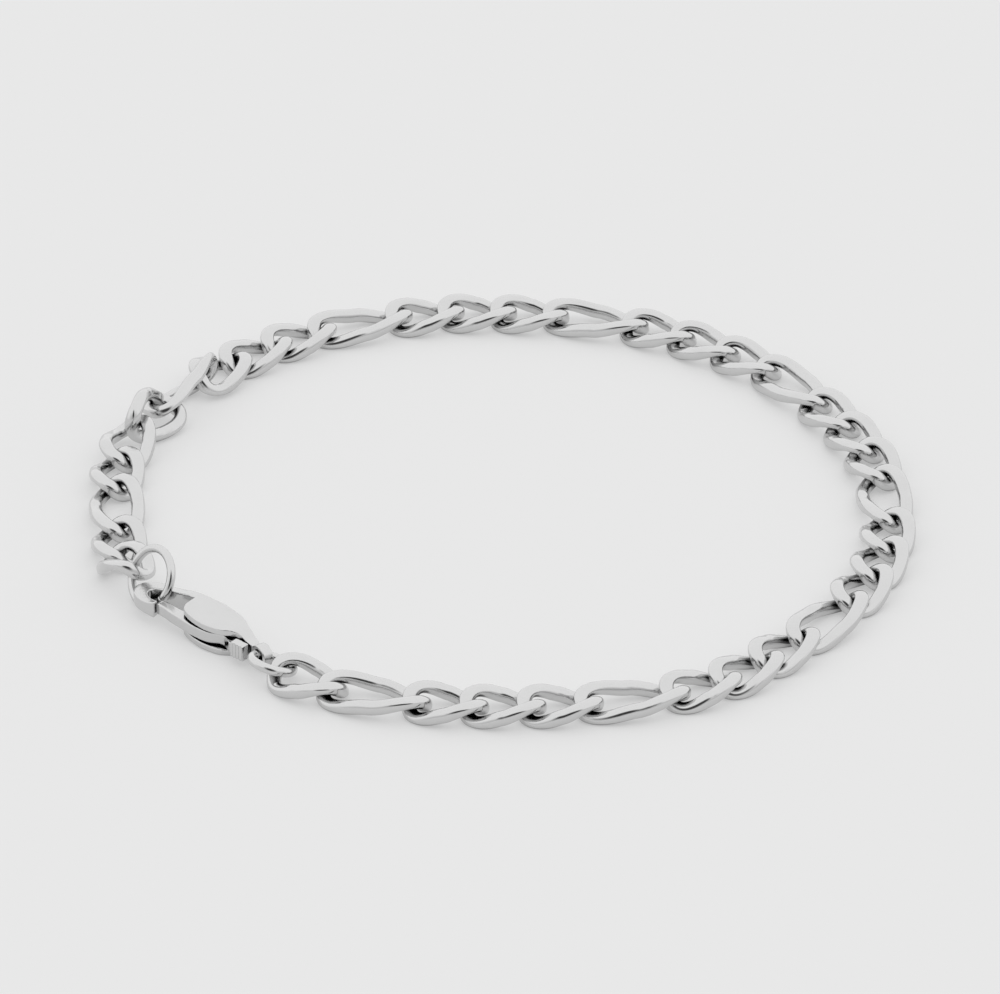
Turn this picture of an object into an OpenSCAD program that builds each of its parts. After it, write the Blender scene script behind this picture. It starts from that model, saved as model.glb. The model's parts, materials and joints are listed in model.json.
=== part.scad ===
/* [Links] */
// Outer length of a small link
small_l = 7.5; // [6.5:0.1:9]
// Outer length of a long link
long_l = 10.2; // [9.2:0.1:14]
// Outer width of every link
link_w = 5; // [4.6:0.1:6.5]
// Thickness of a link from its flat top to its flat underside
link_t = 2.14; // [1.9:0.02:2.6]
// Width of the flattened wire at a link's two ends
end_w = 1.26; // [1:0.02:1.4]
// Width of the flattened wire along a link's two sides
side_w = 1.24; // [1:0.02:1.4]
// Height of the flattened wire, square to its width
wire_h = 1.26; // [1:0.02:1.4]
// How steeply a link's wire climbs across its ends
twist = 0.95; // [0.85:0.01:1.1]
// Play between two links that hang in each other
link_play = 0.12; // [0.08:0.01:0.3]

/* [Rings] */
// Outer diameter of the ring at the clasp's tail
tail_ring_d = 4.5; // [4.2:0.05:6]
// Wire diameter of the ring at the clasp's tail
tail_wire_d = 0.86; // [0.8:0.02:1.1]
// Outer diameter of the jump ring that the clasp hooks
jump_ring_d = 5.8; // [5.4:0.05:7]
// Wire diameter of the jump ring
jump_wire_d = 0.76; // [0.7:0.02:0.96]

/* [Clasp] */
// Length from the nose to the front of the cheeks
hook_l = 5.9; // [5.4:0.1:7.5]
// Length of the cheeks, from their front to the neck
cheek_l = 6.4; // [5.8:0.1:8]
// Width across the cheeks and across the hook
clasp_w = 3.64; // [3.4:0.02:4.6]
// Thickness across the two cheeks
clasp_t = 2.6; // [2.4:0.05:3.4]
// Thickness of one cheek plate
cheek_t = 0.6; // [0.5:0.05:0.7]
// Thickness of the hook
hook_t = 1.15; // [1:0.05:1.3]
// Width of the hook's two arms
arm_w = 0.85; // [0.7:0.05:1]
// Length of the metal ahead of the hook's opening
nose_l = 1.4; // [1.3:0.05:1.9]
// Gap between the tip of the hook and the lever
tip_gap = 0.08; // [0.05:0.01:0.15]
// Outer diameter of the tail eye
eye_d = 2.1; // [2:0.05:2.6]
// Diameter of the hole in the tail eye
eye_hole_d = 1.36; // [1.2:0.02:1.5]
// Width of the tail eye
eye_w = 0.95; // [0.8:0.05:1.2]

/* [Lever] */
// Diameter of the pin that the lever turns on
pin_d = 0.9; // [0.7:0.05:1.1]
// How deep the pin is seated in each cheek
pin_seat = 0.4; // [0.2:0.05:0.45]
// Radial running gap between the pin and the lever
pin_gap = 0.04; // [0.02:0.01:0.08]
// Gap between the lever and each cheek
lever_gap = 0.18; // [0.08:0.01:0.22]
// Width of the lever's front arm where it enters the cheeks
lever_w = 1.1; // [0.9:0.05:1.25]
// Length of the ribbed thumb tab
tab_l = 1.4; // [1.2:0.1:1.8]
// Width of the thumb tab
tab_w = 0.9; // [0.7:0.05:1.2]
// Height of the thumb tab
tab_h = 1.5; // [1.2:0.1:1.7]
// Number of grooves across the thumb tab
tab_grooves = 4; // [2:1:6]
// Depth of a groove in the thumb tab
groove_depth = 0.2; // [0.1:0.02:0.3]

/* [Mesh] */
// Sections round one link
link_steps = 16; // [12:2:24]
// Sides of a link's wire
wire_sides = 6; // [6:1:8]

/* [Hidden] */
// The order of the chain: one long link in every four, the second one first
link_count = 36;
function is_long(k) = k % 4 == 2;
LINKS = [for (k = [1 : link_count]) str("link_", k < 10 ? "0" : "", k)];
$fn = 48;

// Points that the chain's middle line passes through in plan, counter-clockwise from the ring
// at the clasp's tail to the jump ring
route = [
    [-20, -30.4], [-16, -33.1], [-11, -35], [-2.5, -36.5], [7.5, -36], [17.5, -33],
    [24.5, -26.5], [30.5, -18], [33.5, -9], [33.5, 1], [32, 8], [28.5, 15.5], [23, 23],
    [15, 29], [6.5, 32], [-3.5, 33], [-11.5, 31.5], [-17.5, 29], [-21.5, 26.5], [-25.5, 22.5],
    [-28.5, 18.5], [-31, 13.5], [-33.5, 9], [-34.5, 4.5], [-34, -6], [-33.03, -13.42], [-30.52, -17.13]
];

// Links that don't lie flat: number, lift of the middle as a share of link_t, roll towards the
// outside, rise of the leading end and turn off the route in degrees, and how far the link is
// pushed back towards the one before, as a share of end_w
turned = [
    [1, 0.048, 2.6, -1.1, 2.7, 0],
    [2, 0, 0, 0, 0, 0.03],
    [7, 0, 0, 0, 0, 0.05],
    [8, 0, 0, 0, 0, 0.04],
    [19, 0, 0, 0, 0, 0.03],
    [22, 0, 0, 0, 0, 0.04],
    [28, 0, 0, 0, -4.8, -0.012],
    [29, 0.102, -5.4, 6.6, 10.7, 0.112],
    [30, 0.446, 46.7, -3.4, -5.5, 0.46],
    [31, 0.492, -55.9, 12.3, -5.8, 0.548],
    [32, 0.177, -0.9, -5.1, 11.3, 0.167],
    [33, 0, 0, 0, -0.7, -0.028],
    [35, 0, 0, 0, 0, 0.066],
    [36, 0.381, 3.9, 15.6, -3.9, 0.087]
];
FLAT = [0, 0, 0, 0, 0, 0];
function lie(k) = let (rows = [for (t = turned) if (t[0] == k) t]) len(rows) > 0 ? rows[0] : FLAT;

// Where the clasp's nose lies in plan, the way its tail points, and how far its nose is raised
clasp_at = [-32.12, -18.32];
clasp_turn = -40;
nose_up = 1.6;

// Helpers
function power(x, e) = sign(x) * pow(abs(x), e);
function unit(v) = v / norm(v);
function turn_x(a) = [[1, 0, 0], [0, cos(a), -sin(a)], [0, sin(a), cos(a)]];
function turn_y(a) = [[cos(a), 0, sin(a)], [0, 1, 0], [-sin(a), 0, cos(a)]];
function turn_z(a) = [[cos(a), -sin(a), 0], [sin(a), cos(a), 0], [0, 0, 1]];
function flat(p) = [p[0], p[1]];

// A smooth curve through a list of points, each step split in a number of parts
function between(a, b, c, d, u) =
    (2 * b + (c - a) * u + (2 * a - 5 * b + 4 * c - d) * u * u + (3 * b - a - 3 * c + d) * u * u * u) / 2;
function spline(p, parts) = let (n = len(p) - 1) concat(
    [for (i = [0 : n - 1], j = [0 : parts - 1])
        between(i > 0 ? p[i - 1] : 2 * p[0] - p[1], p[i], p[i + 1],
            i + 1 < n ? p[i + 2] : 2 * p[n] - p[n - 1], j / parts)],
    [p[n]]);
function closed_spline(p, parts) = let (n = len(p))
    [for (i = [0 : n - 1], j = [0 : parts - 1])
        between(p[(i + n - 1) % n], p[i], p[(i + 1) % n], p[(i + 2) % n], j / parts)];

// The clasp's own frame: X from the nose to the tail, Y towards the spine, Z up from its underside
neck_x = hook_l + cheek_l;
function from_clasp(p) =
    [clasp_at[0], clasp_at[1], 0] + turn_z(clasp_turn)
        * ([neck_x, 0, 0] + turn_y(nose_up) * (p - [neck_x, 0, 0]));
module at_clasp() {
    translate([clasp_at[0], clasp_at[1], 0])
        rotate([0, 0, clasp_turn])
            translate([neck_x, 0, 0])
                rotate([0, nose_up, 0])
                    translate([-neck_x, 0, 0])
                        children();
}

// The tail eye, and the ring that hangs in it
eye_c = [neck_x + 1.42 * eye_d, -0.25 * clasp_w, 0.58 * clasp_t];
eye_turn = -15;
tail_ring_r = (tail_ring_d - tail_wire_d) / 2;
tail_ring_lean = 22;
tail_ring_uphill = -142;
tail_ring_at_eye = -7.6;
tail_slack = 0.4 * (eye_hole_d - tail_wire_d) / 2;

// The jump ring passes through the hook and stands round the hook's nose
jump_ring_c = from_clasp([0.382 * nose_l, 0.338 * clasp_w, 0.8795 * clasp_t]);
jump_ring_r = (jump_ring_d - jump_wire_d) / 2;
// How far the last link is drawn into the leaning ring, as a share of end_w
jump_pull = 0.047;
jump_ring_lean = 62.5;
jump_ring_uphill = 37.1;

// A ring leans by `lean` and rises towards the direction `uphill`, both in degrees. Its wire
// passes through `seat` at the angle `at`, counted from the level line through its middle.
function ring_frame(lean, uphill) = turn_z(uphill - 90) * turn_x(lean);
function ring_middle(seat, r, lean, uphill, at) =
    seat - ring_frame(lean, uphill) * [r * cos(at), r * sin(at), 0];
tail_ring_c = ring_middle(from_clasp(eye_c), tail_ring_r - tail_slack, tail_ring_lean, tail_ring_uphill,
    tail_ring_at_eye);

// Lengths along the chain: from middle to middle of two links, and from a ring to the end links
function link_l(k) = is_long(k) ? long_l : small_l;
function step_to(k) = (link_l(k - 1) + link_l(k)) / 2 - 2 * end_w - link_play - lie(k)[5] * end_w;
function reach(ring_d, wire_d) = (small_l - end_w) / 2 + ring_d / 2 - wire_d - end_w / 2 - link_play;
reach_tail = reach(tail_ring_d, tail_wire_d);
reach_jump = reach(jump_ring_d, jump_wire_d) - jump_pull * end_w;
places = [for (k = 1, s = reach_tail; k <= link_count; k = k + 1,
    s = s + (k <= link_count ? step_to(k) : 0)) s];
chain_l = places[link_count - 1] + reach_jump;

// The route is spread by one factor until it is as long as the chain, its ends held at the rings
route_parts = 8;
last = len(route) - 1;
function spread(g) = let (
        from_tail = flat(tail_ring_c) - route[0] * g,
        from_jump = flat(jump_ring_c) - route[last] * g)
    [for (i = [0 : last]) let (w = i / last) route[i] * g + (1 - w) * from_tail + w * from_jump];
function path(g) = spline(spread(g), route_parts);
function runs(p) = [for (i = 0, s = 0; i < len(p); i = i + 1,
    s = s + (i < len(p) ? norm(p[i] - p[i - 1]) : 0)) s];
function path_l(g) = let (p = path(g), r = runs(p)) r[len(r) - 1];
function fitted(lo, hi, n) = let (m = (lo + hi) / 2)
    n == 0 ? m : path_l(m) > chain_l ? fitted(lo, m, n - 1) : fitted(m, hi, n - 1);
line = path(fitted(0.7, 1.6, 22));
line_runs = runs(line);
line_x = [for (i = [0 : len(line) - 1]) [line_runs[i], line[i][0]]];
line_y = [for (i = [0 : len(line) - 1]) [line_runs[i], line[i][1]]];
function on_line(s) = [lookup(s, line_x), lookup(s, line_y)];
function heading(s) = let (d = on_line(s + small_l / 3) - on_line(s - small_l / 3)) atan2(d[1], d[0]);

// One link, lying flat about its middle: the wire runs round an oval of half length a and half
// width b and climbs across both ends, and its top and underside are pressed flat
oval = 2 / 2.1;
squareness = 2 / 2.4;
climb_small = 1.25;
climb_long = 1.6;
press_from = 0.16 * link_t;
function mid_line(t, a, b, climb) = let (x = power(cos(t), oval), y = power(sin(t), oval))
    [a * x, b * y, -b * y * twist * power(x, climb)];
function section(t, j, a, b, climb) = let (
        c = mid_line(t, a, b, climb),
        along = mid_line(t + 0.5, a, b, climb) - mid_line(t - 0.5, a, b, climb),
        out = unit(cross(along, [0, 0, 1])),
        up = unit(cross(out, along)),
        f = 360 * j / wire_sides,
        half_w = (side_w + (end_w - side_w) * cos(t) * cos(t)) / 2)
    c + out * half_w * power(cos(f), squareness) + up * wire_h / 2 * power(sin(f), squareness);
function raw_link(a, b, climb) = [for (i = [0 : link_steps - 1], j = [0 : wire_sides - 1])
    section(360 * i / link_steps, j, a, b, climb)];
function pressed(z, top) = let (
        q = abs(z),
        u = min(max((q - press_from) / (top - press_from), 0), 1),
        n = (top - press_from) / (link_t / 2 - press_from))
    q < press_from ? z : sign(z) * (press_from + (link_t / 2 - press_from) * (1 - pow(1 - u, n)));
function link_points(l, climb) = let (
        raw = raw_link((l - end_w) / 2, (link_w - side_w) / 2, climb),
        top = max([for (p = raw) abs(p[2])]))
    [for (p = raw) [p[0], p[1], pressed(p[2], top)]];
small_points = link_points(small_l, climb_small);
long_points = link_points(long_l, climb_long);
function corner(i, j) = (i % link_steps) * wire_sides + j % wire_sides;
link_faces = [for (i = [0 : link_steps - 1], j = [0 : wire_sides - 1], side = [0, 1])
    side == 0 ? [corner(i, j), corner(i, j + 1), corner(i + 1, j + 1)]
        : [corner(i, j), corner(i + 1, j + 1), corner(i + 1, j)]];

// A link in its place on the route
function placed(k) = let (
        t = lie(k),
        s = places[k - 1],
        c = on_line(s),
        m = turn_z(heading(s) + t[4]) * turn_y(-t[3]) * turn_x(t[2]),
        at = [c[0], c[1], link_t / 2 + t[1] * link_t])
    [for (p = is_long(k) ? long_points : small_points) m * p + at];
chain = [for (k = [1 : link_count]) placed(k)];

// The whole piece stands centred on its own outline
xs = [for (one = chain, p = one) p[0]];
ys = [for (one = chain, p = one) p[1]];
middle = [(min(xs) + max(xs)) / 2, (min(ys) + max(ys)) / 2, 0];

module link(k) {
    color("silver")
        translate(-middle)
            polyhedron(chain[k - 1], link_faces);
}

module ring(c, r, wire_d, lean, uphill) {
    translate(c - middle)
        rotate([0, 0, uphill - 90])
            rotate([lean, 0, 0])
                rotate_extrude()
                    translate([r, 0])
                        circle(d = wire_d);
}

module jump_ring() {
    color("gainsboro")
        ring(jump_ring_c, jump_ring_r, jump_wire_d, jump_ring_lean, jump_ring_uphill);
}

module tail_ring() {
    color("gainsboro")
        ring(tail_ring_c, tail_ring_r, tail_wire_d, tail_ring_lean, tail_ring_uphill);
}

// Outline of the cheeks and the neck: how far along the cheeks and how far across, as shares
// of cheek_l and clasp_w
cheek_edge = [
    [0, 0.4], [0.04, 0.48], [0.2, 0.51], [0.48, 0.49], [0.8, 0.37], [1, 0.2], [1.1, 0.13],
    [1.22, 0.02], [1.34, -0.1], [1.4, -0.21], [1.35, -0.32], [1.2, -0.27], [1.08, -0.2], [1, -0.21],
    [0.9, -0.3], [0.77, -0.44], [0.54, -0.5], [0.33, -0.46], [0.12, -0.34], [0.02, -0.18], [-0.01, 0.1]
];
// Line of the spine's back, in the same shares: the spine is arm_w thick inside it
spine_back = [[-1, 0.5], [0.3, 0.5], [0.55, 0.47], [0.75, 0.36], [0.87, 0.17], [0.95, 0.07], [1.05, -0.02]];
function shares(rows, size) = [for (r = rows) [hook_l + r[0] * size[0], r[1] * size[1]]];
cheek_size = [cheek_l, clasp_w];

// The lever turns on its pin between the cheeks, and its front end and the tip of the hook are
// both round about the pin
pin_at = [hook_l + 0.53 * cheek_l, -0.08 * clasp_w];
pin_l = clasp_t - 2 * cheek_t + 2 * pin_seat;
pin_z = cheek_t - pin_seat;
bend_x = 0.4 * hook_l;
throat_l = 0.31 * hook_l;
throat_w = clasp_w / 2 - arm_w;
tip_x = 0.538 * hook_l;
tip_r = pin_at[0] - tip_x;

// Lays flat shapes at a height, in the clasp's frame
module slab(z, t) {
    translate([0, 0, z])
        linear_extrude(t)
            children();
}

// An oval end: its far side runs on as a straight arm, and its near side curls in to the angle `to`
function oval_end(x, rx, ry_far, ry_near, to, far) = concat([[far, ry_far]],
    [for (t = [90 : 10 : to]) [x + rx * cos(t), (t > 180 ? ry_near : ry_far) * sin(t)]]);

// What the lever sweeps between the cheeks
module lever_space() {
    back = shares(spine_back, cheek_size);
    intersection() {
        slab(cheek_t, clasp_t - 2 * cheek_t)
            polygon(concat(
                [for (p = back) [p[0], p[1] - arm_w]],
                [[neck_x, -2 * clasp_w], [-hook_l, -2 * clasp_w]]));
        translate([pin_at[0], pin_at[1], 0])
            cylinder(r = tip_r, h = clasp_t);
    }
}

module hook() {
    difference() {
        slab(0, clasp_t)
            polygon(concat(
                oval_end(bend_x, bend_x, clasp_w / 2, 0.46 * clasp_w, 320, hook_l + arm_w),
                [[hook_l + arm_w, 0]]));
        slab(-clasp_t, 3 * clasp_t)
            polygon(concat(
                oval_end(nose_l + throat_l, throat_l, throat_w, throat_w, 270, hook_l + 2 * arm_w),
                [[hook_l + 2 * arm_w, -throat_w]]));
        intersection() {
            translate([pin_at[0], pin_at[1], -clasp_t])
                cylinder(r = tip_r, h = 3 * clasp_t);
            translate([0, -2 * clasp_w, -clasp_t])
                cube([neck_x, 2 * clasp_w, 3 * clasp_t]);
        }
    }
}

// Half of the thickness along the clasp: how far along as a share of hook_l, and how much of the
// step from the hook's thickness to that of the cheeks
side_rise = [[-0.1, 0], [0.27, 0], [0.45, 0.08], [0.65, 0.4], [0.85, 0.85], [1, 1]];
// The same behind the cheeks: how far from the neck as a share of eye_d, and the share of clasp_t
side_fall = [[-0.3, 0.5], [0, 0.44], [0.5, 0.35], [2, 0.34]];
module side_profile() {
    half = concat(
        [for (r = side_rise) [r[0] * hook_l, (hook_t + r[1] * (clasp_t - hook_t)) / 2]],
        [for (r = side_fall) [neck_x + r[0] * eye_d, r[1] * clasp_t]]);
    n = len(half) - 1;
    translate([0, clasp_w, clasp_t / 2])
        rotate([90, 0, 0])
            linear_extrude(2 * clasp_w)
                polygon(concat(half, [for (i = [n : -1 : 0]) [half[i][0], -half[i][1]]]));
}

module clasp_body() {
    color("gainsboro")
        translate(-middle)
            at_clasp()
                difference() {
                    union() {
                        intersection() {
                            union() {
                                slab(0, clasp_t)
                                    polygon(closed_spline(shares(cheek_edge, cheek_size), 4));
                                hook();
                            }
                            side_profile();
                        }
                        translate(eye_c)
                            rotate([90, 0, eye_turn])
                                cylinder(d = eye_d, h = eye_w, center = true);
                    }
                    lever_space();
                    translate(eye_c)
                        rotate([90, 0, eye_turn])
                            cylinder(d = eye_hole_d, h = 3 * eye_w, center = true);
                    translate([pin_at[0], pin_at[1], pin_z])
                        cylinder(d = pin_d, h = pin_l);
                }
}

module lever_pin() {
    color("silver")
        translate(-middle)
            at_clasp()
                translate([pin_at[0], pin_at[1], pin_z])
                    cylinder(d = pin_d, h = pin_l);
}

// Outer edge of the lever's blade and its width there: how far from the tip of the hook to the
// neck, how far across as a share of clasp_w, and the width as a share of lever_w
blade = [
    [-0.05, -0.31, 0.8], [0.11, -0.335, 0.82], [0.21, -0.385, 0.95], [0.31, -0.42, 1.05],
    [0.41, -0.455, 1.2], [0.5, -0.48, 1.45], [0.61, -0.48, 1.75], [0.71, -0.45, 1.6],
    [0.77, -0.38, 1.35], [0.82, -0.31, 0.9], [0.87, -0.31, 0.7], [0.92, -0.365, 0.62],
    [0.98, -0.44, 0.62], [1.06, -0.49, 0.6]
];
lever_t = clasp_t - 2 * cheek_t - 2 * lever_gap;
hub_wall = 0.4;
blade_l = neck_x - tip_x;
tab_inset = 0.33 * clasp_w;
tab_x = neck_x + 0.3 * arm_w;
groove_side = groove_depth * sqrt(2);
groove_y = -tab_inset - tab_w - groove_depth;
function blade_x(share) = tip_x + share * blade_l;
module clasp_lever() {
    outer = spline([for (r = blade) [blade_x(r[0]), r[1] * clasp_w]], 4);
    inner = spline([for (r = blade) [blade_x(r[0]), r[1] * clasp_w + r[2] * lever_w]], 4);
    n = len(inner) - 1;
    color("silver")
        translate(-middle)
            at_clasp()
                difference() {
                    union() {
                        intersection() {
                            slab((clasp_t - lever_t) / 2, lever_t)
                                polygon(concat(outer, [for (i = [n : -1 : 0]) inner[i]]));
                            translate([pin_at[0], pin_at[1], 0])
                                cylinder(r = tip_r - tip_gap, h = clasp_t);
                        }
                        translate([pin_at[0], pin_at[1], (clasp_t - lever_t) / 2])
                            cylinder(d = pin_d + 2 * hub_wall, h = lever_t);
                        translate([tab_x, -tab_inset - tab_w, (clasp_t - lever_t) / 2])
                            cube([tab_l, tab_w, tab_h]);
                    }
                    translate([pin_at[0], pin_at[1], 0])
                        cylinder(r = pin_d / 2 + pin_gap, h = clasp_t);
                    for (i = [0 : tab_grooves - 1])
                        translate([tab_x + (i + 0.5) * tab_l / tab_grooves, groove_y, -clasp_t])
                            rotate([0, 0, 45])
                                cube([groove_side, groove_side, 3 * clasp_t]);
                }
}

for (k = [1 : link_count])
    link(k);
jump_ring();
tail_ring();
clasp_body();
clasp_lever();
lever_pin();
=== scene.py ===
import json
import math

import bmesh
import bpy
import numpy as np
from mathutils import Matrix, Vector

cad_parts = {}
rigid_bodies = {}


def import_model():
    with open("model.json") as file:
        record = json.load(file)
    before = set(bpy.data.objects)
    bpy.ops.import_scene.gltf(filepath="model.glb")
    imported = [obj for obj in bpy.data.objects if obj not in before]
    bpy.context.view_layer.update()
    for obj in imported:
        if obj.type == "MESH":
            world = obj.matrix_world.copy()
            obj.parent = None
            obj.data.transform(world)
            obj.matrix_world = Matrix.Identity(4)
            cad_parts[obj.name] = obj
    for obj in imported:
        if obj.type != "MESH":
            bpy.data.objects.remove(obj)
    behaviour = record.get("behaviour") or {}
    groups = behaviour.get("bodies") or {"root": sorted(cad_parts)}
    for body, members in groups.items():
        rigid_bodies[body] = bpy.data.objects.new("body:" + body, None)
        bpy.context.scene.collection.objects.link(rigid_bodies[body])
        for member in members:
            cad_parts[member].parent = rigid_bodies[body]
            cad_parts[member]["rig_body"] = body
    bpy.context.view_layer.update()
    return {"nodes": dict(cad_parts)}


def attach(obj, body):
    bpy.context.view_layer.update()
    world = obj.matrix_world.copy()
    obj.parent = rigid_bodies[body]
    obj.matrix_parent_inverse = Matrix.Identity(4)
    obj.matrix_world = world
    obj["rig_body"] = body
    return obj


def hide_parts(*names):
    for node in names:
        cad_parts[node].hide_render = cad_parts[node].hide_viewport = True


bl_info = {
    "name": "Link Bracelet",
    "version": (1, 0, 0),
    "blender": (4, 5, 0),
    "location": "3D View > Sidebar > Bracelet",
    "description": "Builds a twisted-link bracelet with its hook clasp, and a small studio for it",
    "category": "Add Mesh",
}

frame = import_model()
NODES = frame["nodes"]
LINKS = sorted(name for name in NODES if name.startswith("link_"))
MM = 0.001

# Way round in radians over which a wire's direction is measured
SMALL_TURN = 0.004
# How far a link's sections are drawn together at its bends
CROWDING = 0.03
# How much closer a ring's sections lie near its joint
JOINT_CROWDING = 1.6
# Points of a casting nearer than this are one point, in millimetres
DOUBLE_POINT = 0.002
# Hairline scratches: which way each set runs, and how much finer it is across than along
HAIRLINES = ((0.6, 9.0), (2.1, 12.0), (-0.7, 10.0))


# Mesh helpers


def points_of(node):
    """All the points of a CAD node, as an array with one row for each."""
    mesh = NODES[node].data
    flat = np.empty(len(mesh.vertices) * 3)
    mesh.vertices.foreach_get("co", flat)
    return flat.reshape(-1, 3)


def closed_grid(name, surface):
    """Makes a mesh of a surface that is closed both ways, such as a tube bent into a ring.

    surface has one row for each section along the tube and one column for each point round
    it. Each cell of the grid becomes a four-cornered face, and the last row and column join
    the first ones.
    """
    rows, columns = surface.shape[:2]
    row, column = np.meshgrid(np.arange(rows), np.arange(columns), indexing="ij")
    next_row, next_column = (row + 1) % rows, (column + 1) % columns
    faces = np.stack(
        [row * columns + column, next_row * columns + column,
         next_row * columns + next_column, row * columns + next_column], axis=-1).reshape(-1, 4)
    mesh = bpy.data.meshes.new(name)
    mesh.from_pydata(surface.reshape(-1, 3), [], faces)
    mesh.polygons.foreach_set("use_smooth", np.ones(len(faces), bool))
    mesh.update()
    piece = bpy.data.objects.new(name, mesh)
    bpy.context.scene.collection.objects.link(piece)
    return piece


def main_axes(points):
    """Middle of the points and the three directions of their spread, widest first, as columns.

    The directions are the eigenvectors of the points' covariance, turned so that they form a
    right-handed set.
    """
    middle = points.mean(axis=0)
    _, vectors = np.linalg.eigh(np.cov((points - middle).T))
    longest, shortest = vectors[:, 2], vectors[:, 0]
    return middle, np.stack([longest, np.cross(shortest, longest), shortest], axis=1)


def unit(vectors):
    """Each vector divided by its length."""
    return vectors / np.linalg.norm(vectors, axis=-1, keepdims=True)


def power(values, exponent):
    """The size of each value raised to the exponent, with the value's own sign."""
    return np.sign(values) * np.abs(values) ** exponent


def put_on(piece, node, material):
    """The piece stands for the node: it takes the material, the node is hidden, and the piece moves with the
    node's body.
    """
    piece.data.materials.append(material)
    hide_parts(node)
    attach(piece, NODES[node]["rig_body"])


# The shapes


def link_surface(link_length, sizes):
    """Surface of one flat-pressed, twisted link about its own middle, its length along X.

    The wire's middle runs round an oval x = a sgn(c)|c|^e, y = b sgn(s)|s|^e, where c and s
    are the cosine and sine of the way round. It climbs across the ends: z = -y k |x/a|^m with
    the sign of x. Square to the wire, its section is a rounded rectangle: the same power
    formula with an exponent nearer to 1. Last, heights over a small flat zone are pressed
    together, so that the top and the underside end in broad flat faces.
    """
    width, thick, end_w, side_w = sizes.width, sizes.thickness, sizes.end_width, sizes.side_width
    half_l, half_w = (link_length - end_w) / 2, (width - side_w) / 2
    climb = sizes.climb_long if link_length > sizes.long_from else sizes.climb_small

    def middle_line(way):
        x = power(np.cos(way), sizes.oval)
        y = half_w * power(np.sin(way), sizes.oval)
        return np.stack([half_l * x, y, -y * sizes.twist * power(x, climb)], axis=-1)

    way = (np.arange(sizes.steps) + 0.5) * 2 * math.pi / sizes.steps
    way = way - CROWDING * np.sin(4 * way)
    line = middle_line(way)
    along = unit(middle_line(way + SMALL_TURN) - middle_line(way - SMALL_TURN))
    out = unit(np.cross(along, [0.0, 0.0, 1.0]))
    up = np.cross(out, along)
    turn = np.arange(sizes.sides) * 2 * math.pi / sizes.sides
    half = (side_w + (end_w - side_w) * np.cos(way) ** 2)[:, None] / 2
    across = half * power(np.cos(turn), sizes.squareness)[None]
    lift = sizes.wire_height / 2 * power(np.sin(turn), sizes.squareness)[None]
    surface = line[:, None] + out[:, None] * across[..., None] + up[:, None] * lift[..., None]
    height = np.abs(surface[..., 2])
    start, top = sizes.press_from * thick, height.max()
    rise = np.clip((height - start) / (top - start), 0, 1)
    steepness = (top - start) / (thick / 2 - start)
    pressed = start + (thick / 2 - start) * (1 - (1 - rise) ** steepness)
    surface[..., 2] = np.sign(surface[..., 2]) * np.where(height > start, pressed, height)
    return surface


def ring_surface(points, sizes):
    """Surface of a round wire ring with a closed butt joint, fitted to a CAD ring's points.

    The ring's axis is the direction in which its points spread least, and its middle is the
    middle of their box along that axis and square to it. Its outer radius is the farthest that
    a point lies from the axis, and its wire is as thick as the points' height along the axis.
    The wire's radius dips by a narrow bell curve where its two ends meet.
    """
    middle, axes = main_axes(points)
    local = (points - middle) @ axes
    offset = (local.max(axis=0) + local.min(axis=0)) / 2
    local, middle = local - offset, middle + axes @ offset
    wire = local[:, 2].max()
    middle_r = np.hypot(local[:, 0], local[:, 1]).max() - wire
    steps, sides = sizes.steps, sizes.sides
    way = np.linspace(-1, 1, steps, endpoint=False)
    way = math.pi * power(way, JOINT_CROWDING)
    dip = sizes.joint_depth * np.exp(-((way * middle_r / sizes.joint_width) ** 2))
    turn = np.arange(sides) * 2 * math.pi / sides
    radius = (wire - dip)[:, None]
    out = middle_r + radius * np.cos(turn)[None]
    around = (way + sizes.joint_at)[:, None]
    surface = np.stack(
        [out * np.cos(around), out * np.sin(around),
         radius * np.sin(turn)[None]], axis=-1)
    return surface @ axes.T + middle


def cast_copy(node, name, sizes):
    """Copy of a CAD node with the soft edges of a tumbled casting.

    The copy's doubled points are merged, then it is rebuilt as a fine even mesh, and the mesh
    is relaxed until its edges are round.
    """
    mesh = NODES[node].data.copy()
    mesh.name = name
    cell = bmesh.new()
    cell.from_mesh(mesh)
    bmesh.ops.remove_doubles(cell, verts=cell.verts, dist=DOUBLE_POINT * MM)
    cell.to_mesh(mesh)
    cell.free()
    mesh.materials.clear()
    piece = bpy.data.objects.new(name, mesh)
    bpy.context.scene.collection.objects.link(piece)
    remesh = piece.modifiers.new("Even mesh", "REMESH")
    remesh.mode = "VOXEL"
    remesh.voxel_size = sizes.cell
    remesh.use_smooth_shade = True
    relax = piece.modifiers.new("Tumbled", "SMOOTH")
    relax.factor = 0.5
    relax.iterations = sizes.rounds
    evaluated = piece.evaluated_get(bpy.context.evaluated_depsgraph_get())
    finished = bpy.data.meshes.new_from_object(evaluated)
    piece.modifiers.clear()
    piece.data = finished
    finished.name = name
    bpy.data.meshes.remove(mesh)
    return piece


# Shader helpers


class Value:
    """A node's output that can be used in a sum, so that 1 - mask adds a Math node."""

    def __init__(self, graph, socket):
        self.graph, self.socket = graph, socket

    def math(self, operation, *inputs):
        return self.graph.add("ShaderNodeMath", {"operation": operation}, dict(enumerate(inputs)))

    def __add__(self, other):
        return self.math("ADD", self, other)

    def __sub__(self, other):
        return self.math("SUBTRACT", self, other)

    def __rsub__(self, other):
        return self.math("SUBTRACT", other, self)

    def __mul__(self, other):
        return self.math("MULTIPLY", self, other)

    __radd__, __rmul__ = __add__, __mul__


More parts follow.
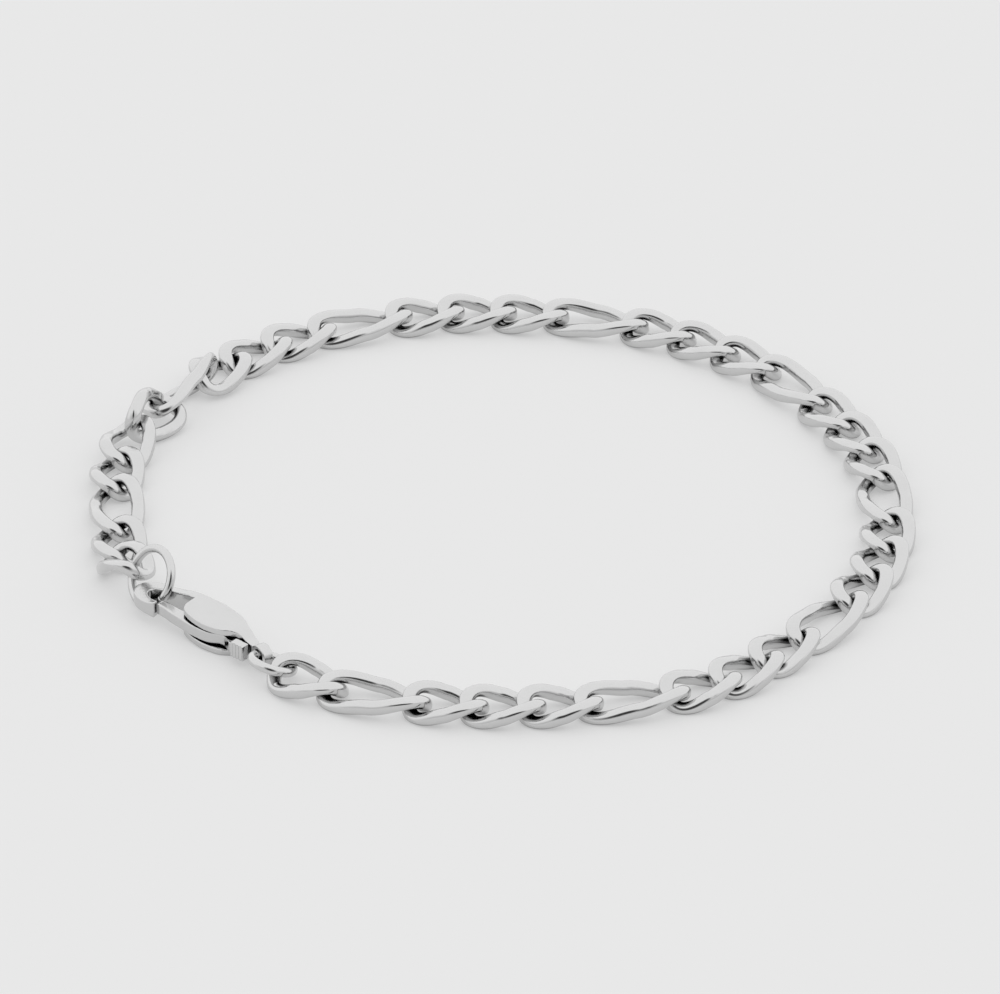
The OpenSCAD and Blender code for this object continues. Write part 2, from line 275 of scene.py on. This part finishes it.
class Graph:
    """The nodes of one material or world."""

    def __init__(self, tree):
        self.tree = tree
        tree.nodes.clear()

    def add(self, kind, settings=None, inputs=None, output=0):
        """Adds a node of a kind, sets its settings, then gives its sockets values or links."""
        node = self.tree.nodes.new(kind)
        for key, value in (settings or {}).items():
            if key == "stops":
                self.set_stops(node.color_ramp, value)
            else:
                setattr(node, key, value)
        for key, value in (inputs or {}).items():
            if isinstance(value, Value):
                self.tree.links.new(value.socket, node.inputs[key])
            else:
                node.inputs[key].default_value = value
        return Value(self, node.outputs[output]) if node.outputs else None

    @staticmethod
    def set_stops(ramp, stops):
        while len(ramp.elements) < len(stops):
            ramp.elements.new(0.5)
        for element, (place, shade) in zip(ramp.elements, stops):
            element.position = place
            element.color = (shade, shade, shade, 1)

    def millimetres(self):
        """The Object coordinates, counted in millimetres."""
        coordinates = self.add("ShaderNodeTexCoord", output="Object")
        return self.add("ShaderNodeVectorMath", {"operation": "SCALE"},
                        {0: coordinates, "Scale": 1 / MM})

    def noise(self, place, scale, detail=2.0, roughness=0.5):
        return self.add("ShaderNodeTexNoise", {},
                        {"Vector": place, "Scale": scale, "Detail": detail, "Roughness": roughness})

    def ramp(self, value, stops, mode="LINEAR"):
        """A grey that follows a value through the stops: places with the tone at each."""
        node = self.add("ShaderNodeValToRGB", {"stops": stops}, {"Fac": value})
        node.socket.node.color_ramp.interpolation = mode
        return node

    def shade(self, factor, dark, light):
        """A colour between two, by a factor."""
        return self.add("ShaderNodeMix", {"data_type": "RGBA"},
                        {0: factor, 6: (*dark, 1), 7: (*light, 1)}, 2)


def polished_steel(name, colour, look):
    """Polished steel: a bright mirror with faint handling marks.

    Slow waves in the surface bend the reflections a little, fine crossing hairlines and a few
    shallow pits catch the light, and the gloss and the tone drift from place to place. Where
    other metal closes in, the colour itself is darkened: painted shade, standing in for the
    light tent barely reaching there.
    """
    material = bpy.data.materials.new(name)
    material.use_nodes = True
    graph = Graph(material.node_tree)
    place = graph.millimetres()
    drift = graph.noise(place, 0.45)
    waves = graph.noise(place, 1.1, detail=1.0)
    grain = graph.noise(place, 26.0, detail=4.0, roughness=0.6)
    hairs = None
    for turn, stretch in HAIRLINES:
        turned = graph.add(
            "ShaderNodeMapping", {},
            {"Vector": place, "Rotation": (0.3 * turn, 0.5, turn), "Scale": (0.6, stretch, stretch)})
        lines = graph.ramp(graph.noise(turned, 2.2, detail=3.0), ((0.6, 0.0), (0.72, 1.0)))
        hairs = lines if hairs is None else hairs + lines
    cells = graph.add("ShaderNodeTexVoronoi", {}, {"Vector": place, "Scale": 3.2})
    pits = graph.ramp(cells, ((0.0, 1.0), (0.07, 0.0)))
    worn = graph.shade(drift, tuple(c * look.worn for c in colour), colour)
    marked = graph.add("ShaderNodeMix", {"data_type": "RGBA", "blend_type": "MULTIPLY"},
                       {0: hairs * 0.12 + pits * 0.25, 6: worn, 7: (0.72, 0.72, 0.72, 1)}, 2)
    # Painted shade: an ambient occlusion node darkens the base colour where other metal closes in
    open_sky = graph.add("ShaderNodeAmbientOcclusion", {"samples": 8}, {"Distance": look.painted_shade_reach}, 1)
    painted_shade = graph.ramp(open_sky, ((look.painted_shade_from, look.painted_shade_tone), (look.painted_shade_to, 1.0)), "EASE")
    marked = graph.add("ShaderNodeMix", {"data_type": "RGBA", "blend_type": "MULTIPLY"},
                       {0: 1.0, 6: marked, 7: painted_shade}, 2)
    gloss = look.roughness + (drift - 0.5) * 0.05 + hairs * look.hair_gloss + (grain - 0.5) * 0.03
    height = waves * look.waves + grain * look.grain - hairs * look.hair_depth - pits * look.pit_depth
    bump = graph.add("ShaderNodeBump", {}, {"Height": height, "Strength": 1.0, "Distance": MM})
    surface = graph.add("ShaderNodeBsdfPrincipled", {},
                        {"Base Color": marked, "Metallic": 1.0, "Roughness": gloss, "Normal": bump})
    graph.add("ShaderNodeOutputMaterial", {}, {"Surface": surface})
    return material


# Sizes and colours


def length(name, description, millimetres, low=0.0):
    return bpy.props.FloatProperty(name=name, description=description, default=millimetres * MM, min=low,
                                   subtype="DISTANCE", unit="LENGTH", precision=6)


def angle(name, description, degrees):
    return bpy.props.FloatProperty(name=name, description=description, default=math.radians(degrees),
                                   subtype="ANGLE", unit="ROTATION")


def number(name, description, default, low=0.0, high=1000.0):
    return bpy.props.FloatProperty(name=name, description=description, default=default, min=low, max=high)


def share(name, description, default):
    return number(name, description, default, high=1.0)


def count(name, description, default, low, high):
    return bpy.props.IntProperty(name=name, description=description, default=default, min=low, max=high)


def grey(name, description, tone):
    return bpy.props.FloatVectorProperty(name=name, description=description, subtype="COLOR",
                                         default=(tone, tone, tone), min=0.0, max=1.0)


class LinkSizes(bpy.types.PropertyGroup):
    width: length("Width", "Outer width of every link", 5.0)
    thickness: length("Thickness", "From a link's flat top to its flat underside", 2.14)
    end_width: length("Wire at the ends", "Width of the flattened wire at a link's ends", 1.26)
    side_width: length("Wire at the sides", "Width of the flattened wire along a link's sides", 1.24)
    wire_height: length("Wire height", "Height of the flattened wire, square to its width", 1.26)
    long_from: length("Long from", "A link longer than this is one of the long ones", 9.0)
    twist: number("Twist", "How steeply the wire climbs across a link's ends", 0.95)
    climb_small: number("Climb of small links", "How late the climb starts in a small link", 1.25, low=0.5)
    climb_long: number("Climb of long links", "How late the climb starts in a long link", 1.6, low=0.5)
    oval: number("Oval", "Power of the link's outline, 1 for an ellipse", 2 / 2.1, 0.3, 2.0)
    squareness: number("Squareness", "Power of the wire's section, 1 for an ellipse", 2 / 2.4, 0.3, 2.0)
    press_from: number("Press from", "Where the pressing starts, as a share of the thickness", 0.16, 0.0, 0.5)
    steps: count("Steps", "Sections round a link", 112, 16, 256)
    sides: count("Sides", "Points round the wire", 28, 6, 64)


class RingSizes(bpy.types.PropertyGroup):
    joint_depth: length("Joint depth", "Depth of the groove where the wire's ends meet", 0.05)
    joint_width: length("Joint width", "Width of the groove where the wire's ends meet", 0.035)
    joint_at: angle("Joint at", "Place of the joint round the ring", 205)
    steps: count("Steps", "Sections round a ring", 224, 24, 400)
    sides: count("Sides", "Points round the wire", 32, 8, 64)


class ClaspSizes(bpy.types.PropertyGroup):
    cell: length("Cell", "Cell size of the clasp's fine mesh", 0.055)
    rounds: count("Rounds", "How long the casting's edges are tumbled round", 12, 0, 60)


class SteelLook(bpy.types.PropertyGroup):
    link_colour: grey("Links", "Colour of the links' steel", 0.67)
    clasp_colour: grey("Clasp", "Colour of the clasp's steel", 0.67)
    roughness: share("Roughness", "How blurred the reflections are", 0.12)
    worn: share("Worn tone", "Tone of the duller places, as a share of the colour", 0.93)
    hair_gloss: share("Hairline gloss", "How much rougher a hairline scratch is", 0.05)
    waves: number("Waves", "Height of the slow waves, in millimetres", 0.012)
    grain: number("Grain", "Height of the fine grain, in millimetres", 0.0006)
    hair_depth: number("Hairline depth", "Depth of a hairline scratch, in millimetres", 0.0008)
    pit_depth: number("Pit depth", "Depth of a pit, in millimetres", 0.004)
    # Painted shade: these four settings darken the steel's colour near other metal, in place of the shade
    # there
    painted_shade_reach: length("Recess reach", "How far metal darkens the metal near it", 1.1)
    painted_shade_tone: share("Recess tone", "Tone of the deepest recesses, as a share of the colour", 0.12)
    painted_shade_from: share("Recess from", "Openness at which a recess is darkest", 0.12)
    painted_shade_to: share("Recess to", "Openness from which the metal keeps its full colour", 0.62)


class StageSizes(bpy.types.PropertyGroup):
    elevation: angle("Elevation", "How high the camera looks down from", 30.142)
    distance: length("Distance", "From the camera to the point it looks at", 654.83)
    aim_x: length("Aim across", "Where the camera looks, across", 0.04, low=-1.0)
    aim_y: length("Aim along", "Where the camera looks, along", 2.57, low=-1.0)
    lens: number("Lens", "Focal length for a sensor 36 mm wide", 264.84, low=1.0)
    floor_colour: grey("Floor", "Colour of the floor", 0.4)
    floor_glow: number("Floor glow", "Light that comes up through the floor", 0.424)
    floor_size: length("Floor size", "Width of the floor", 4000.0)
    sky: number("Sky", "Brightness of the light tent", 1.06)
    lens_shadow: share("Lens shadow", "Darkness of the tent's opening for the camera", 0.95)
    opening: angle("Opening", "Half angle of the tent's opening for the camera", 32)
    opening_core: share("Opening's core", "Half angle of its darkest part, as a share of the whole", 0.4)
    low_shade: share("Low shade", "Darkness of the tent low down at the camera's side", 0.35)


# The operators


class BRACELET_OT_links(bpy.types.Operator):
    """Make the thirty-six twisted links, each where the frame has it"""
    bl_idname = "bracelet.links"
    bl_label = "Make the Links"

    def execute(self, context):
        sizes, look = context.scene.bracelet_links, context.scene.bracelet_steel
        steel = polished_steel("Link steel", look.link_colour, look)
        for name in LINKS:
            points = points_of(name)
            middle, axes = main_axes(points)
            reach = (points - middle) @ axes
            surface = link_surface(reach[:, 0].max() - reach[:, 0].min(), sizes)
            piece = closed_grid(name.replace("link", "twisted_link"), surface @ axes.T + middle)
            put_on(piece, name, steel)
        return {"FINISHED"}


class BRACELET_OT_rings(bpy.types.Operator):
    """Make the jump ring and the ring at the clasp's tail, each with its butt joint"""
    bl_idname = "bracelet.rings"
    bl_label = "Make the Rings"

    def execute(self, context):
        sizes, look = context.scene.bracelet_rings, context.scene.bracelet_steel
        steel = polished_steel("Ring steel", look.clasp_colour, look)
        for name in ("jump_ring", "tail_ring"):
            piece = closed_grid("wire_" + name, ring_surface(points_of(name), sizes))
            put_on(piece, name, steel)
        return {"FINISHED"}


class BRACELET_OT_clasp(bpy.types.Operator):
    """Make the clasp's cast body, its sprung lever and the pin between them"""
    bl_idname = "bracelet.clasp"
    bl_label = "Make the Clasp"

    def execute(self, context):
        sizes, look = context.scene.bracelet_clasp, context.scene.bracelet_steel
        steel = polished_steel("Clasp steel", look.clasp_colour, look)
        names = (("clasp_body", "cast_body"), ("clasp_lever", "sprung_lever"), ("lever_pin", "rivet_pin"))
        for node, name in names:
            put_on(cast_copy(node, name, sizes), node, steel)
        return {"FINISHED"}


class BRACELET_OT_stage(bpy.types.Operator):
    """Make the pale floor, the light tent round it and the camera"""
    bl_idname = "bracelet.stage"
    bl_label = "Make the Stage"

    def execute(self, context):
        sizes, scene = context.scene.bracelet_stage, context.scene
        self.make_floor(scene, sizes)
        self.make_sky(scene, sizes)
        self.make_camera(scene, sizes)
        scene.view_settings.view_transform = "Standard"
        scene.view_settings.look = "None"
        return {"FINISHED"}

    def make_floor(self, scene, sizes):
        half = sizes.floor_size / 2
        mesh = bpy.data.meshes.new("floor")
        corners = [(-half, -half, 0), (half, -half, 0), (half, half, 0), (-half, half, 0)]
        mesh.from_pydata(corners, [], [(0, 1, 2, 3)])
        floor = bpy.data.objects.new("floor", mesh)
        scene.collection.objects.link(floor)
        material = bpy.data.materials.new("Matt card")
        material.use_nodes = True
        graph = Graph(material.node_tree)
        surface = graph.add(
            "ShaderNodeBsdfPrincipled", {},
            {"Base Color": (*sizes.floor_colour, 1), "Roughness": 1.0, "Specular IOR Level": 0.0,
             "Emission Color": (1, 1, 1, 1), "Emission Strength": sizes.floor_glow})
        graph.add("ShaderNodeOutputMaterial", {}, {"Surface": surface})
        mesh.materials.append(material)

    def make_sky(self, scene, sizes):
        """A bright tent with a soft dark opening for the camera, duller low down at that side."""
        world = bpy.data.worlds.new("Light tent")
        scene.world = world
        world.use_nodes = True
        graph = Graph(world.node_tree)
        way = graph.add("ShaderNodeTexCoord", output="Generated")
        lens_way = (0, -math.cos(sizes.elevation), math.sin(sizes.elevation))
        towards = graph.add("ShaderNodeVectorMath", {"operation": "DOT_PRODUCT"}, {0: way, 1: lens_way}, 1)
        edge, core = math.cos(sizes.opening), math.cos(sizes.opening * sizes.opening_core)
        hole = graph.ramp(towards, ((edge, 0.0), (core, 1.0)), "EASE")
        parts = graph.add("ShaderNodeSeparateXYZ", {}, {"Vector": way})
        along, height = (Value(graph, parts.socket.node.outputs[i]) for i in (1, 2))
        front = graph.ramp(0 - along, ((0.0, 0.0), (0.7, 1.0)), "EASE")
        low = graph.ramp(height, ((0.2, 1.0), (0.6, 0.0)), "EASE")
        light = (1 - hole * sizes.lens_shadow) * (1 - front * low * sizes.low_shade)
        background = graph.add("ShaderNodeBackground", {},
                               {"Color": graph.shade(light, (0, 0, 0), (1, 1, 1)), "Strength": sizes.sky})
        graph.add("ShaderNodeOutputWorld", {}, {"Surface": background})

    def make_camera(self, scene, sizes):
        lens = bpy.data.cameras.new("camera")
        lens.lens, lens.sensor_width = sizes.lens, 36.0
        lens.clip_start, lens.clip_end = 0.01, 10.0
        camera = bpy.data.objects.new("camera", lens)
        scene.collection.objects.link(camera)
        aim = Vector((sizes.aim_x, sizes.aim_y, 0))
        back = Vector((0, -math.cos(sizes.elevation), math.sin(sizes.elevation)))
        camera.location = aim + back * sizes.distance
        camera.rotation_euler = back.to_track_quat("Z", "Y").to_euler()
        scene.camera = camera


class BRACELET_PT_panel(bpy.types.Panel):
    """Sizes, colours and operators of the bracelet"""
    bl_label = "Bracelet"
    bl_idname = "BRACELET_PT_panel"
    bl_space_type = "VIEW_3D"
    bl_region_type = "UI"
    bl_category = "Bracelet"

    def draw(self, context):
        for title, group, operators in SECTIONS:
            box = self.layout.box()
            box.label(text=title)
            values = getattr(context.scene, group)
            for key in values.__annotations__:
                box.prop(values, key)
            for operator in operators:
                box.operator(operator)


SECTIONS = (
    ("Steel", "bracelet_steel", ()),
    ("Links", "bracelet_links", ("bracelet.links",)),
    ("Rings", "bracelet_rings", ("bracelet.rings",)),
    ("Clasp", "bracelet_clasp", ("bracelet.clasp",)),
    ("Stage", "bracelet_stage", ("bracelet.stage",)),
)
GROUPS = {"bracelet_steel": SteelLook, "bracelet_links": LinkSizes, "bracelet_rings": RingSizes,
          "bracelet_clasp": ClaspSizes, "bracelet_stage": StageSizes}
CLASSES = (SteelLook, LinkSizes, RingSizes, ClaspSizes, StageSizes, BRACELET_OT_links, BRACELET_OT_rings,
           BRACELET_OT_clasp, BRACELET_OT_stage, BRACELET_PT_panel)


def register():
    for one in CLASSES:
        bpy.utils.register_class(one)
    for name, group in GROUPS.items():
        setattr(bpy.types.Scene, name, bpy.props.PointerProperty(type=group))


def unregister():
    for name in GROUPS:
        delattr(bpy.types.Scene, name)
    for one in reversed(CLASSES):
        bpy.utils.unregister_class(one)


def main():
    """Registers the add-on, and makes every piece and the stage."""
    register()
    bpy.ops.bracelet.links()
    bpy.ops.bracelet.rings()
    bpy.ops.bracelet.clasp()
    bpy.ops.bracelet.stage()


if __name__ == "__main__":
    main()
